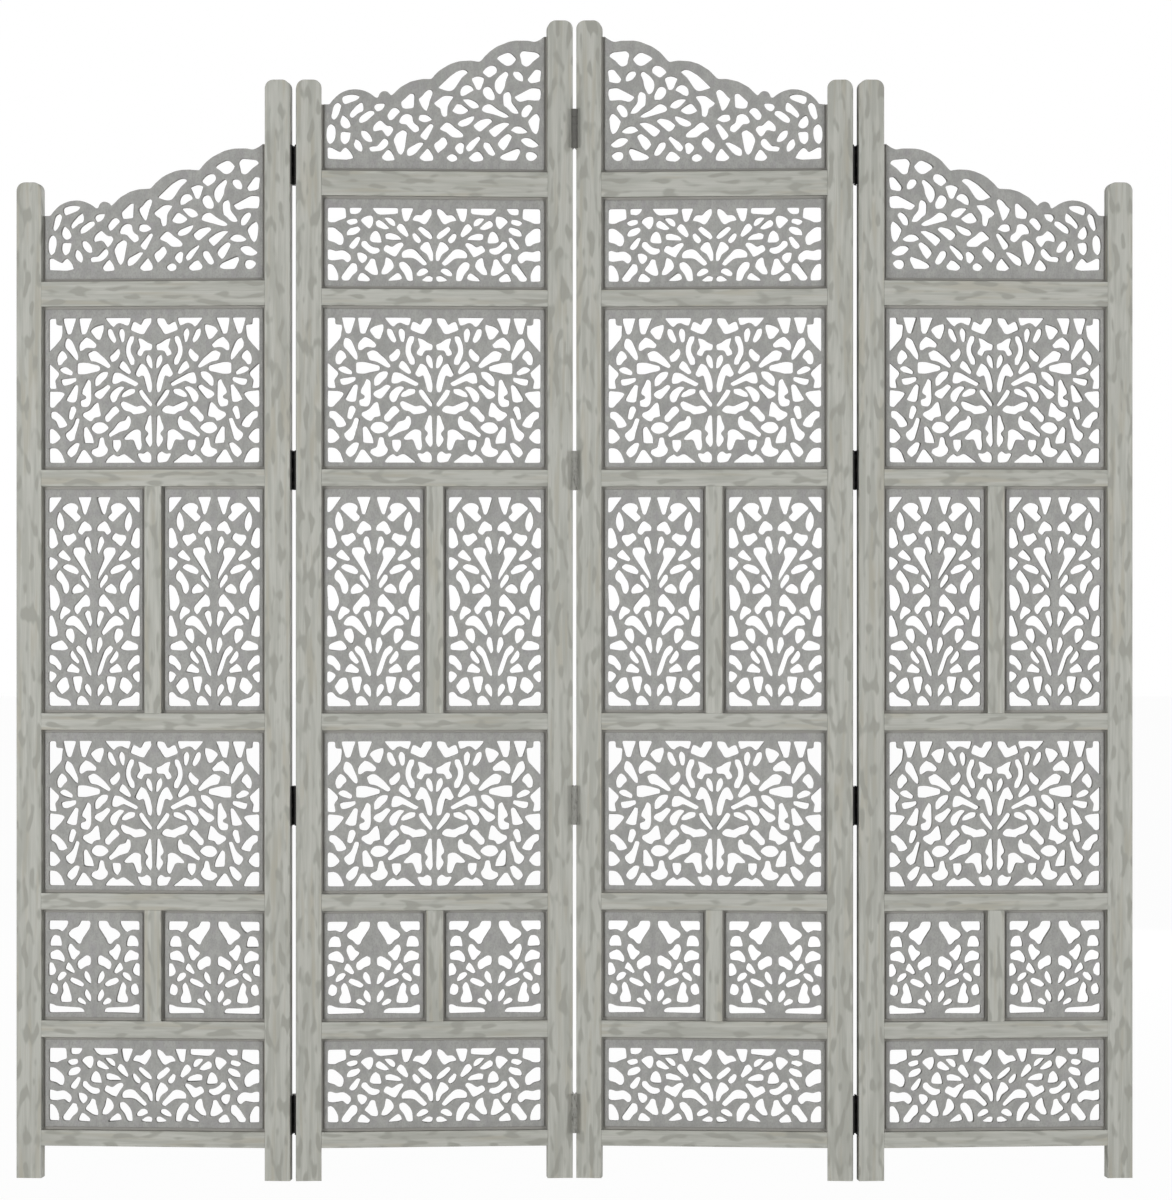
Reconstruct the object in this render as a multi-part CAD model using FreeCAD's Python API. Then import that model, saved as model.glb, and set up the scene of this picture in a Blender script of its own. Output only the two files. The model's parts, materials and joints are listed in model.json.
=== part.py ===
import FreeCAD, Part
import math
import os

# Folding wooden screen of four hinged panels, each a frame filled with fretwork boards.
# Millimetres, +Z up, front towards -Y. The origin is on the floor, in the middle of the
# ground that the screen covers as it stands in its shallow zigzag.

Vector = FreeCAD.Vector

# Panels
panel_width = 394.5
frame_thickness = 25.0
stile_width = 36.0
stile_top_radius = 12.0
muntin_width = 24.0
stand_angle = 5.0

# What is stacked between the stiles, from the floor up
foot_height = 46.6
bottom_rail_height = 22.5
cross_rail_height = 24.0
crest_rail_height = 35.5
border_opening_height = 132.5
square_opening_height = 158.0
tree_opening_height = 233.0
tall_opening_height = 323.5

# How far the stiles stand above the end of the crest board: at the screen's ends, at the
# joints beside the centre and at the centre joint
outer_stile_rise = 47.5
near_stile_rise = 34.0
centre_stile_rise = 22.5

# Joinery: boards have tongues in grooves, rails have tenons in mortises
groove_width = 4.4
groove_depth = 7.0
tongue_play = 0.2
tongue_end_play = 0.5
tenon_thickness = 9.0
tenon_length = 18.0
tenon_shoulder = 4.0
tenon_play = 0.1
tenon_end_play = 0.5

# Boards: a thick carved field, with a sunk channel round it and a rim between channel and holes
board_thickness = 8.0
channel_width = 4.0
rim_top = 12.0
rim_bottom = 7.0
rim_side_wide = 6.2
rim_side_narrow = 5.5

# Crest board: heights of its two ends above the crest rail, and the rim below its holes
crest_low_height = 94.7
crest_high_height = 194.7
crest_rim = 13.0

# Points closer than this are one point
same_point = 0.001

# Fretwork: the saw cuts this far outside the guide points, the stem gains this on each side,
# and a hole has a sharp tip where its ring of points turns by more than this, in degrees
saw_cut = 1.1
stem_gain = 0.8
tip_turn = 55.0

# Butt hinges, laid on the edges of the stiles
hinge_length = 56.0
hinge_gap = 4.0
leaf_thickness = 1.8
leaf_width = 19.0
knuckle_radius = 4.6
knuckle_count = 5
knuckle_play = 0.15
knuckle_room = 0.3
pin_radius = 2.0
pin_play = 0.05
lower_hinge_heights = (93.0, 533.0, 1011.0)
top_hinge_drop_near = 120.0
top_hinge_drop_centre = 155.0

# Countersunk screws
screw_head_radius = 3.4
screw_head_height = 1.5
screw_radius = 1.75
screw_length = 15.0
screw_tip_length = 3.0
screw_play = 0.05
screw_end_play = 0.5
screw_sway = 2.4
screw_slot_width = 0.9
screw_slot_depth = 0.6
screws_per_leaf = 3

# Sizes that follow
opening_width = panel_width - 2 * stile_width
narrow_opening_width = (opening_width - muntin_width) / 2
tongue_thickness = groove_width - 2 * tongue_play
tongue_reach = groove_depth - tongue_end_play
face = frame_thickness / 2
axis_offset = face + knuckle_radius + knuckle_room
leaf_end = knuckle_radius + knuckle_room + leaf_width
leaf_face = hinge_gap / 2 - leaf_thickness
top_round = min(stile_top_radius, 0.45 * stile_width)

# Fretwork guide points. Each hole is a closed curve that follows a ring of points.
# The first four designs are the half right of the stem: (distance from the stem, height),
# with the other half mirrored. The crest is drawn whole, from its low end.
tree_drawn = (153.0, 207.0)
border_drawn = (153.0, 109.0)
tall_drawn = (66.0, 299.0)
square_drawn = (66.0, 132.0)
crest_drawn = (325.0, 192.0)
crest_drawn_foot = 13.0

tree_holes = [
    [(153, 206), (144, 206), (144, 196), (134, 196), (134, 182), (141, 172), (153, 157)],
    [(134, 206), (114, 206), (119, 196), (122, 184), (127, 184), (129, 196)],
    [(110, 206), (90, 206), (96, 197), (100, 184), (106, 184), (109, 195)],
    [(93, 188), (88, 195), (74, 197), (72, 190), (79, 176), (83, 176), (89, 183)],
    [(72, 206), (33, 206), (37, 196), (42, 197), (47, 201), (55, 200), (59, 194), (63, 196)],
    [(69, 186), (67, 191), (62, 190), (55, 174), (57, 171), (61, 172)],
    [(51, 188), (48, 192), (44, 190), (42, 182), (44, 172), (47, 172), (50, 180)],
    [(34, 190), (30, 201), (24, 200), (19, 195), (14, 205), (3, 206), (3, 200), (10, 193), (14, 184),
     (20, 183)],
    [(23, 178), (16, 176), (9, 169), (2, 168), (3, 161), (14, 161), (18, 152), (25, 155), (24, 160),
     (19, 164)],
    [(35, 180), (29, 180), (29, 174), (34, 168), (35, 158), (32, 152), (28, 147), (28, 140), (34, 140),
     (39, 150), (41, 160), (39, 172)],
    [(52, 163), (49, 160), (50, 153), (57, 144), (62, 144), (65, 151), (57, 156)],
    [(97, 156), (90, 160), (83, 158), (78, 152), (70, 147), (63, 137), (66, 135), (77, 141), (85, 146),
     (93, 146)],
    [(110, 165), (108, 172), (100, 179), (91, 176), (84, 168), (86, 164), (94, 166), (101, 165),
     (105, 160), (109, 160)],
    [(131, 171), (128, 178), (121, 176), (117, 165), (110, 150), (112, 146), (117, 149), (124, 160),
     (130, 164)],
    [(140, 156), (136, 160), (129, 157), (127, 150), (134, 146), (136, 140), (141, 140), (143, 147)],
    [(139, 133), (134, 137), (126, 135), (119, 129), (120, 125), (128, 127), (136, 130)],
    [(112, 127), (112, 142), (103, 143), (92, 140), (79, 137), (79, 132), (92, 130), (103, 126)],
    [(153, 142), (147, 136), (139, 127), (141, 122), (146, 118), (145, 112), (143, 106), (153, 106)],
    [(136, 118), (134, 111), (128, 109), (114, 117), (114, 121), (126, 120)],
    [(115, 111), (111, 110), (113, 98), (114, 87), (120, 85), (129, 89), (124, 99)],
    [(100, 110), (97, 119), (93, 116), (94, 104), (92, 93), (94, 82), (99, 79), (107, 81), (108, 88),
     (100, 90), (99, 95), (106, 99), (105, 104)],
    [(74, 130), (67, 129), (68, 122), (76, 117), (80, 110), (86, 109), (87, 117), (83, 124)],
    [(58, 128), (50, 128), (40, 121), (31, 116), (22, 112), (26, 109), (35, 113), (46, 118), (52, 112),
     (61, 113), (62, 120)],
    [(68, 111), (63, 108), (66, 103), (73, 97), (77, 91), (83, 91), (88, 97), (86, 101), (75, 104)],
    [(48, 109), (43, 107), (49, 102), (54, 93), (56, 87), (61, 86), (65, 91), (63, 99), (56, 105)],
    [(34, 105), (27, 104), (28, 99), (36, 97), (43, 93), (48, 94), (47, 97), (41, 102)],
    [(22, 102), (17, 104), (13, 99), (5, 88), (2, 82), (4, 79), (9, 84), (20, 96)],
    [(49, 84), (46, 87), (38, 84), (30, 80), (25, 78), (20, 81), (13, 79), (10, 74), (13, 70), (30, 69),
     (34, 74), (41, 74), (46, 77)],
    [(19, 141), (14, 140), (8, 131), (4, 119), (2, 106), (4, 100), (8, 101), (11, 112), (12, 120),
     (15, 126), (19, 124), (22, 122), (27, 126), (25, 131)],
    [(12, 149), (9, 154), (5, 152), (2, 142), (2, 134), (4, 134), (9, 141)],
    [(50, 140), (46, 145), (41, 142), (37, 134), (33, 128), (36, 126), (45, 131), (51, 136)],
    [(153, 102), (133, 101), (131, 98), (136, 90), (143, 85), (147, 79), (153, 79)],
    [(122, 79), (117, 80), (114, 75), (118, 67), (120, 61), (123, 61), (126, 65)],
    [(151, 72), (145, 73), (139, 68), (131, 61), (127, 53), (134, 49), (140, 50), (142, 57), (145, 62),
     (151, 64)],
    [(86, 85), (82, 86), (80, 78), (78, 66), (83, 65), (88, 65), (91, 59), (97, 59), (105, 67),
     (104, 70), (94, 72)],
    [(61, 79), (56, 80), (50, 73), (55, 69), (62, 64), (66, 58), (71, 59), (72, 65), (65, 71)],
    [(92, 48), (89, 55), (80, 57), (71, 55), (66, 49), (72, 43), (82, 41), (89, 44)],
    [(39, 66), (35, 65), (33, 58), (37, 48), (42, 46), (49, 45), (55, 41), (65, 36), (67, 39), (58, 46),
     (52, 57), (46, 58), (41, 59)],
    [(114, 63), (109, 62), (111, 52), (116, 42), (117, 33), (123, 30), (130, 35), (130, 40), (121, 46),
     (116, 55)],
    [(153, 48), (149, 48), (141, 41), (137, 35), (142, 30), (148, 27), (153, 27)],
    [(103, 49), (99, 51), (95, 44), (89, 34), (88, 27), (96, 27), (102, 28), (103, 37)],
    [(79, 35), (74, 35), (73, 28), (72, 23), (67, 18), (69, 12), (77, 8), (86, 8), (92, 13), (91, 17),
     (82, 20), (80, 27)],
    [(61, 31), (48, 31), (48, 25), (50, 19), (54, 14), (58, 18), (60, 24)],
    [(44, 33), (40, 38), (31, 45), (24, 47), (19, 44), (20, 34), (17, 22), (20, 17), (24, 18), (27, 30),
     (31, 34), (40, 31)],
    [(7, 67), (4, 67), (3, 50), (3, 35), (2, 24), (5, 21), (12, 30), (12, 35), (7, 40), (8, 44),
     (13, 47), (13, 51), (9, 57)],
    [(24, 12), (20, 13), (16, 10), (10, 15), (5, 13), (3, 5), (4, 0), (17, 0), (20, 4)],
    [(72, 0), (67, 7), (59, 11), (54, 6), (47, 11), (40, 10), (26, 0)],
    [(116, 0), (110, 8), (105, 17), (101, 17), (97, 10), (90, 3), (89, 0)],
    [(114, 28), (109, 27), (111, 20), (116, 10), (122, 7), (128, 13), (127, 17), (119, 24)],
    [(153, 20), (145, 20), (139, 16), (133, 7), (130, 0), (153, 0)],
]
border_holes = [
    [(153, 108), (129, 108), (128, 94), (140, 91), (143, 87), (153, 87)],
    [(122, 108), (104, 108), (107, 103), (114, 99), (121, 100)],
    [(127, 88), (121, 93), (112, 92), (111, 87), (118, 84), (124, 84)],
    [(106, 90), (101, 97), (90, 97), (88, 92), (91, 81), (94, 78), (98, 82)],
    [(90, 108), (52, 108), (53, 101), (60, 100), (70, 100), (80, 99), (85, 103)],
    [(72, 94), (66, 95), (59, 91), (56, 86), (57, 82), (61, 83), (68, 89)],
    [(84, 87), (80, 91), (75, 88), (68, 82), (65, 79), (69, 77), (76, 79), (83, 82)],
    [(93, 62), (89, 73), (84, 75), (79, 71), (78, 62), (76, 58), (84, 58), (91, 59)],
    [(126, 73), (120, 79), (110, 81), (107, 77), (110, 72), (120, 68), (126, 68)],
    [(153, 80), (146, 80), (140, 74), (133, 69), (131, 60), (134, 54), (139, 54), (143, 59), (153, 60)],
    [(111, 66), (107, 65), (109, 59), (114, 50), (118, 48), (123, 51), (121, 55), (114, 62)],
    [(104, 59), (99, 60), (96, 54), (88, 49), (80, 49), (79, 45), (84, 41), (92, 42), (98, 47),
     (105, 53)],
    [(153, 47), (149, 47), (143, 43), (133, 46), (128, 44), (121, 38), (121, 32), (125, 28), (129, 30),
     (131, 34), (140, 33), (146, 31), (153, 32)],
    [(111, 42), (107, 43), (98, 39), (97, 35), (101, 29), (105, 27), (108, 31), (110, 36)],
    [(153, 26), (149, 26), (143, 19), (139, 8), (139, 2), (153, 2)],
    [(119, 27), (113, 26), (111, 18), (114, 13), (120, 10), (124, 2), (132, 2), (134, 6), (129, 13),
     (126, 19)],
    [(111, 2), (109, 9), (105, 13), (101, 12), (93, 4), (94, 1)],
    [(91, 34), (86, 33), (86, 26), (81, 14), (82, 10), (88, 10), (95, 15), (101, 19), (99, 22),
     (94, 26)],
    [(69, 36), (65, 35), (59, 27), (59, 21), (65, 15), (70, 11), (76, 11), (76, 15), (71, 22),
     (70, 30)],
    [(73, 48), (69, 54), (66, 54), (62, 50), (58, 51), (54, 56), (46, 58), (44, 55), (49, 50), (53, 42),
     (56, 37), (61, 39), (66, 43), (72, 45)],
    [(70, 70), (66, 72), (58, 70), (49, 66), (47, 62), (54, 62), (62, 62), (69, 63)],
    [(54, 79), (49, 86), (45, 85), (40, 75), (37, 69), (39, 66), (44, 70), (51, 75)],
    [(47, 108), (30, 108), (34, 101), (38, 90), (42, 89), (46, 96)],
    [(31, 91), (28, 97), (22, 99), (17, 97), (11, 107), (4, 108), (3, 102), (7, 95), (11, 87), (14, 85),
     (18, 88), (24, 91)],
    [(23, 78), (19, 82), (13, 78), (4, 70), (2, 66), (5, 63), (12, 67), (19, 74)],
    [(31, 70), (28, 72), (23, 68), (19, 61), (22, 57), (26, 59), (30, 65)],
    [(12, 59), (8, 59), (4, 51), (1, 38), (2, 31), (5, 31), (8, 40), (11, 43), (17, 46), (20, 49),
     (18, 53)],
    [(44, 45), (37, 48), (29, 48), (22, 41), (15, 34), (10, 27), (14, 24), (21, 29), (26, 35), (36, 37),
     (46, 36), (47, 40)],
    [(50, 28), (45, 30), (40, 27), (34, 20), (31, 10), (31, 2), (38, 2), (40, 9), (45, 17), (50, 21)],
    [(67, 2), (62, 7), (52, 13), (48, 11), (47, 5), (50, 2)],
    [(25, 12), (20, 18), (14, 20), (9, 18), (8, 15), (13, 12), (20, 9), (24, 9)],
    [(18, 2), (12, 7), (6, 9), (2, 7), (3, 1), (16, 1)],
]
tall_holes = [
    [(66, 299), (46, 299), (52, 293), (58, 287), (62, 279), (66, 277)],
    [(24, 299), (3, 299), (5, 294), (9, 285), (12, 275), (15, 275), (17, 283), (19, 292)],
    [(48, 284), (42, 289), (34, 291), (25, 289), (23, 285), (26, 280), (25, 275), (19, 271), (22, 266),
     (27, 265), (34, 272), (42, 279)],
    [(54, 273), (51, 279), (48, 276), (44, 262), (45, 253), (49, 250), (53, 255), (55, 264)],
    [(18, 263), (14, 265), (9, 262), (3, 257), (3, 252), (9, 252), (14, 252), (17, 246), (21, 246),
     (24, 250), (20, 257)],
    [(66, 255), (61, 255), (56, 247), (56, 239), (53, 233), (56, 229), (62, 226), (66, 227)],
    [(46, 244), (41, 245), (36, 244), (30, 248), (27, 245), (25, 240), (31, 237), (35, 231), (39, 229),
     (43, 235), (47, 241)],
    [(14, 237), (11, 243), (7, 242), (5, 232), (3, 222), (5, 217), (9, 224), (13, 233)],
    [(30, 226), (23, 226), (19, 227), (14, 225), (12, 220), (15, 214), (14, 208), (9, 197), (4, 186),
     (4, 180), (8, 186), (14, 196), (22, 206), (29, 217), (31, 222)],
    [(54, 216), (50, 221), (46, 224), (41, 219), (34, 210), (36, 208), (44, 211), (52, 214)],
    [(47, 199), (43, 203), (36, 202), (27, 199), (22, 193), (24, 189), (32, 191), (42, 195)],
    [(66, 214), (60, 213), (53, 206), (57, 200), (63, 195), (66, 196)],
    [(55, 191), (51, 195), (47, 191), (42, 183), (37, 175), (37, 165), (40, 161), (44, 162), (46, 170),
     (48, 177), (54, 180), (56, 184)],
    [(19, 187), (15, 188), (10, 180), (6, 172), (8, 168), (14, 175), (20, 183)],
    [(33, 164), (30, 171), (24, 175), (18, 172), (14, 167), (17, 163), (26, 163), (32, 161)],
    [(66, 174), (60, 173), (54, 163), (50, 150), (53, 142), (57, 136), (62, 137), (66, 140)],
    [(13, 160), (8, 158), (5, 148), (6, 143), (14, 144), (19, 141), (21, 134), (25, 131), (29, 135),
     (29, 142), (23, 147), (17, 156)],
    [(46, 142), (41, 142), (34, 136), (36, 133), (43, 131), (47, 124), (50, 123), (51, 129), (48, 137)],
    [(13, 133), (10, 136), (5, 135), (3, 125), (3, 116), (5, 112), (9, 121), (13, 130)],
    [(41, 122), (36, 127), (29, 129), (21, 123), (14, 112), (10, 105), (12, 101), (16, 103), (24, 112),
     (32, 117), (39, 115), (43, 117)],
    [(66, 129), (62, 129), (58, 120), (54, 107), (54, 101), (60, 99), (66, 99)],
    [(42, 106), (39, 110), (32, 110), (29, 104), (29, 94), (31, 89), (35, 91), (42, 100)],
    [(11, 92), (9, 98), (5, 97), (3, 86), (2, 77), (4, 74), (8, 82), (11, 88)],
    [(27, 82), (23, 86), (17, 82), (12, 72), (8, 58), (3, 46), (4, 42), (8, 44), (12, 54), (15, 66),
     (19, 73), (26, 78)],
    [(64, 81), (64, 87), (58, 89), (52, 92), (47, 93), (40, 86), (38, 82), (42, 80), (53, 80)],
    [(66, 72), (60, 72), (53, 65), (47, 55), (49, 50), (53, 51), (57, 58), (61, 60), (66, 61)],
    [(35, 76), (32, 79), (29, 75), (24, 66), (21, 62), (24, 60), (31, 65), (35, 71)],
    [(41, 49), (38, 57), (33, 60), (28, 56), (21, 51), (22, 47), (32, 48)],
    [(66, 49), (60, 49), (55, 43), (58, 38), (64, 33), (66, 34)],
    [(45, 40), (40, 40), (39, 33), (36, 27), (38, 23), (44, 19), (48, 16), (52, 20), (56, 28),
     (52, 34)],
    [(32, 40), (17, 41), (17, 36), (20, 29), (20, 20), (23, 17), (27, 20), (29, 30)],
    [(14, 27), (10, 31), (6, 29), (3, 17), (4, 12), (8, 16), (13, 23)],
    [(66, 18), (60, 19), (55, 11), (46, 9), (35, 6), (32, 0), (66, 0)],
    [(26, 1), (25, 9), (20, 13), (16, 13), (10, 7), (6, 1)],
]
square_holes = [
    [(66, 131), (37, 131), (39, 126), (44, 119), (47, 116), (50, 119), (56, 121), (66, 119)],
    [(19, 131), (5, 131), (5, 124), (9, 119), (13, 112), (18, 106), (20, 99), (24, 99), (28, 106),
     (36, 108), (38, 113), (33, 119), (25, 121), (21, 124)],
    [(65, 99), (62, 108), (57, 111), (51, 110), (47, 100), (47, 96), (56, 97), (65, 96)],
    [(65, 85), (59, 87), (54, 90), (49, 88), (42, 77), (44, 72), (49, 75), (56, 77), (64, 77)],
    [(36, 98), (32, 98), (29, 92), (24, 88), (20, 87), (21, 84), (26, 82), (29, 76), (33, 76), (36, 84),
     (39, 93)],
    [(10, 82), (5, 80), (4, 71), (7, 68), (13, 68), (18, 62), (22, 62), (25, 68), (23, 74), (17, 77)],
    [(66, 71), (61, 71), (58, 65), (56, 60), (59, 54), (66, 52)],
    [(41, 67), (38, 72), (35, 70), (31, 63), (28, 58), (30, 56), (38, 60), (42, 63)],
    [(49, 57), (43, 58), (40, 55), (43, 51), (49, 47), (54, 45), (55, 48), (52, 53)],
    [(15, 55), (12, 60), (8, 58), (4, 46), (4, 41), (7, 42), (13, 49)],
    [(36, 46), (33, 50), (26, 48), (18, 44), (14, 40), (18, 37), (25, 40), (33, 43)],
    [(65, 38), (61, 42), (55, 40), (53, 34), (55, 27), (60, 25), (65, 28)],
    [(45, 41), (42, 44), (39, 41), (37, 32), (33, 22), (33, 16), (40, 14), (48, 15), (50, 20), (46, 26),
     (44, 31), (47, 36)],
    [(14, 28), (11, 34), (7, 30), (3, 19), (5, 15), (8, 17), (13, 24)],
    [(25, 18), (20, 21), (16, 19), (11, 13), (12, 11), (18, 13), (24, 15)],
    [(66, 12), (62, 12), (56, 8), (48, 7), (35, 7), (22, 7), (14, 4), (13, 1), (25, 1), (40, 1),
     (66, 0)],
]
crest_holes = [
    [(15, 73), (18, 70), (22, 74), (26, 83), (28, 91), (24, 95), (19, 92), (17, 83)],
    [(30, 96), (33, 93), (42, 96), (54, 101), (55, 104), (49, 106), (38, 106), (31, 103)],
    [(41, 76), (44, 73), (49, 77), (53, 82), (59, 83), (61, 90), (58, 96), (53, 93), (47, 85),
     (42, 80)],
    [(28, 70), (28, 63), (33, 58), (39, 58), (42, 62), (40, 68), (36, 73), (31, 77)],
    [(54, 70), (55, 66), (61, 67), (69, 73), (76, 79), (75, 83), (70, 84), (64, 80), (57, 75)],
    [(9, 38), (12, 35), (16, 37), (19, 44), (20, 53), (19, 61), (14, 64), (10, 62), (8, 50)],
    [(29, 38), (33, 35), (38, 37), (40, 44), (42, 52), (36, 53), (29, 52), (28, 46)],
    [(10, 30), (10, 14), (24, 13), (40, 13), (46, 15), (43, 21), (38, 27), (35, 30), (31, 28), (28, 22),
     (20, 25), (14, 30)],
    [(47, 36), (48, 31), (53, 26), (57, 24), (59, 28), (57, 35), (53, 41), (49, 43)],
    [(57, 50), (62, 42), (69, 38), (73, 39), (72, 44), (68, 50), (63, 55), (58, 55)],
    [(74, 59), (75, 54), (81, 56), (88, 57), (91, 50), (95, 46), (100, 50), (103, 58), (99, 62),
     (94, 61), (89, 66), (85, 70), (80, 67)],
    [(69, 30), (71, 25), (80, 25), (89, 28), (96, 36), (95, 42), (91, 44), (87, 38), (80, 31),
     (74, 33)],
    [(76, 89), (80, 83), (85, 84), (90, 90), (91, 94), (84, 94), (78, 93)],
    [(95, 77), (98, 70), (102, 71), (107, 79), (113, 83), (109, 88), (103, 88), (99, 83)],
    [(115, 96), (117, 88), (125, 87), (132, 89), (133, 98), (133, 108), (129, 109), (122, 102)],
    [(140, 101), (143, 94), (147, 87), (151, 84), (153, 90), (154, 99), (158, 106), (160, 112),
     (156, 115), (150, 112), (146, 104)],
    [(112, 67), (116, 64), (122, 66), (127, 58), (134, 53), (140, 56), (139, 62), (134, 64), (130, 69),
     (130, 77), (125, 80), (118, 78), (114, 73)],
    [(140, 71), (146, 68), (153, 69), (159, 72), (155, 76), (148, 79), (142, 78)],
    [(104, 40), (108, 32), (110, 23), (114, 20), (118, 25), (119, 34), (121, 44), (123, 53), (117, 56),
     (110, 52), (106, 46)],
    [(142, 48), (146, 43), (150, 42), (153, 48), (157, 56), (161, 64), (157, 66), (151, 59), (146, 53)],
    [(123, 25), (124, 19), (129, 19), (137, 25), (143, 32), (147, 38), (142, 39), (134, 34), (126, 30)],
    [(87, 16), (90, 12), (97, 12), (105, 13), (104, 17), (100, 24), (97, 28), (93, 25), (90, 19)],
    [(141, 16), (146, 12), (152, 12), (160, 13), (161, 17), (157, 24), (153, 30), (149, 25), (145, 20)],
    [(162, 34), (165, 28), (168, 23), (172, 27), (178, 33), (181, 38), (177, 46), (174, 46), (170, 40),
     (164, 38)],
    [(162, 95), (166, 90), (172, 89), (172, 82), (175, 76), (180, 77), (180, 85), (181, 95), (187, 101),
     (190, 105), (180, 107), (171, 103)],
    [(168, 117), (175, 115), (186, 113), (191, 117), (196, 126), (202, 135), (211, 141), (207, 144),
     (198, 142), (188, 136), (178, 126)],
    [(188, 84), (192, 82), (200, 80), (207, 82), (212, 86), (206, 89), (201, 94), (196, 95), (192, 90)],
    [(170, 58), (174, 56), (180, 55), (186, 48), (193, 46), (203, 47), (204, 50), (197, 57), (190, 60),
     (185, 67), (180, 68), (175, 62)],
    [(196, 65), (199, 62), (207, 63), (214, 67), (219, 74), (220, 77), (215, 77), (207, 72), (199, 70)],
    [(200, 111), (201, 106), (206, 107), (213, 113), (219, 115), (218, 118), (211, 122), (206, 121),
     (202, 117)],
    [(216, 131), (220, 125), (223, 116), (228, 115), (231, 122), (234, 132), (229, 134), (222, 134)],
    [(203, 101), (208, 96), (215, 90), (220, 88), (227, 91), (225, 95), (219, 99), (211, 102)],
    [(192, 31), (195, 25), (199, 22), (203, 24), (203, 31), (205, 36), (200, 39), (195, 36)],
    [(180, 16), (184, 12), (189, 11), (194, 13), (195, 18), (190, 22), (184, 21)],
    [(208, 31), (211, 26), (215, 27), (219, 33), (225, 40), (229, 46), (226, 48), (219, 43), (212, 37)],
    [(212, 16), (216, 12), (224, 12), (231, 13), (233, 17), (228, 22), (226, 26), (221, 25), (217, 20)],
    [(219, 63), (223, 57), (228, 55), (233, 60), (240, 65), (246, 71), (243, 74), (235, 73), (226, 70)],
    [(233, 34), (236, 29), (242, 21), (247, 20), (250, 23), (246, 29), (243, 36), (238, 40), (234, 39)],
    [(231, 86), (235, 83), (246, 82), (256, 78), (266, 75), (270, 77), (264, 82), (255, 85), (248, 91),
     (243, 95), (237, 94), (233, 91)],
    [(232, 140), (237, 136), (241, 133), (246, 136), (252, 141), (252, 147), (248, 150), (242, 149),
     (237, 146)],
    [(232, 112), (236, 105), (241, 101), (248, 101), (250, 106), (246, 113), (243, 119), (238, 120),
     (234, 117)],
    [(250, 118), (253, 111), (257, 109), (260, 115), (264, 122), (264, 131), (269, 139), (266, 142),
     (260, 138), (253, 131), (250, 125)],
    [(241, 56), (245, 50), (249, 47), (254, 51), (260, 57), (267, 63), (271, 67), (265, 69), (256, 66),
     (247, 61)],
    [(254, 37), (257, 31), (262, 28), (266, 33), (270, 41), (274, 49), (269, 52), (263, 48), (257, 42)],
    [(257, 17), (262, 14), (271, 14), (280, 14), (282, 20), (286, 27), (284, 31), (277, 29), (268, 24),
     (260, 21)],
    [(252, 160), (258, 157), (264, 151), (270, 150), (276, 154), (280, 160), (275, 166), (269, 169),
     (262, 166), (255, 163)],
    [(286, 166), (289, 160), (289, 152), (294, 149), (299, 151), (303, 157), (309, 161), (315, 165),
     (312, 169), (301, 170), (290, 171)],
    [(276, 138), (279, 133), (284, 129), (290, 128), (291, 132), (288, 138), (284, 142), (278, 142)],
    [(297, 130), (300, 126), (306, 126), (314, 128), (315, 136), (316, 144), (309, 145), (304, 139),
     (300, 133)],
    [(278, 105), (282, 100), (288, 99), (297, 103), (307, 101), (314, 101), (316, 108), (315, 117),
     (306, 119), (297, 116), (288, 110)],
    [(262, 108), (263, 99), (263, 93), (268, 91), (272, 85), (279, 81), (284, 82), (281, 88), (276, 93),
     (272, 99), (273, 108), (270, 113), (266, 112)],
    [(288, 83), (289, 77), (293, 76), (297, 79), (300, 86), (304, 91), (300, 95), (295, 93), (291, 88)],
    [(298, 70), (301, 62), (305, 54), (309, 52), (312, 57), (313, 68), (314, 78), (310, 82), (306, 79),
     (302, 75)],
    [(272, 57), (278, 54), (286, 53), (294, 54), (297, 55), (291, 60), (284, 63), (277, 62)],
    [(287, 43), (293, 36), (301, 33), (309, 33), (313, 36), (306, 42), (299, 46), (290, 46)],
    [(294, 20), (297, 14), (302, 13), (308, 16), (311, 21), (306, 25), (300, 26), (296, 25)],
]

# Crest's top edge: each scallop is an arc (start, a point on it, end), drawn from the low end
crest_scallops = [
    [(12, 92), (36, 112), (78, 102)],
    [(82, 102), (90, 112), (99, 105.5)],
    [(101, 105.5), (121, 122.5), (158, 129.5)],
    [(158, 129.5), (184, 151), (228, 154.5)],
    [(228, 154.5), (257, 179.5), (307, 184)],
    [(307, 184), (314, 187), (321, 192)],
]


def box(x_range, y_range, z_range):
    """Box between two values on each axis, given in either order."""
    low = Vector(min(x_range), min(y_range), min(z_range))
    high = Vector(max(x_range), max(y_range), max(z_range))
    size = high - low
    return Part.makeBox(size.x, size.y, size.z, low)


def both_ways(half):
    """Range that lies evenly about zero."""
    return (-half, half)


def at(point, y):
    """Point of a drawing in the XZ plane, set at a depth."""
    return Vector(point[0], y, point[1])


def grown(points, distance):
    """Ring of points moved outwards, each along the mean normal of its two sides."""
    area = 0.0
    for here, there in zip(points, points[1:] + points[:1]):
        area += here[0] * there[1] - there[0] * here[1]
    side = math.copysign(1.0, area)
    result = []
    for index, here in enumerate(points):
        before = points[index - 1]
        after = points[(index + 1) % len(points)]
        along = Vector(after[0] - before[0], after[1] - before[1], 0).normalize()
        result.append((here[0] + side * along.y * distance, here[1] - side * along.x * distance))
    return result


def turn_at(points, index):
    """Angle in degrees by which a ring of points turns at one of them."""
    here = Vector(*points[index], 0)
    arriving = here - Vector(*points[index - 1], 0)
    leaving = Vector(*points[(index + 1) % len(points)], 0) - here
    return math.degrees(arriving.getAngle(leaving))


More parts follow.
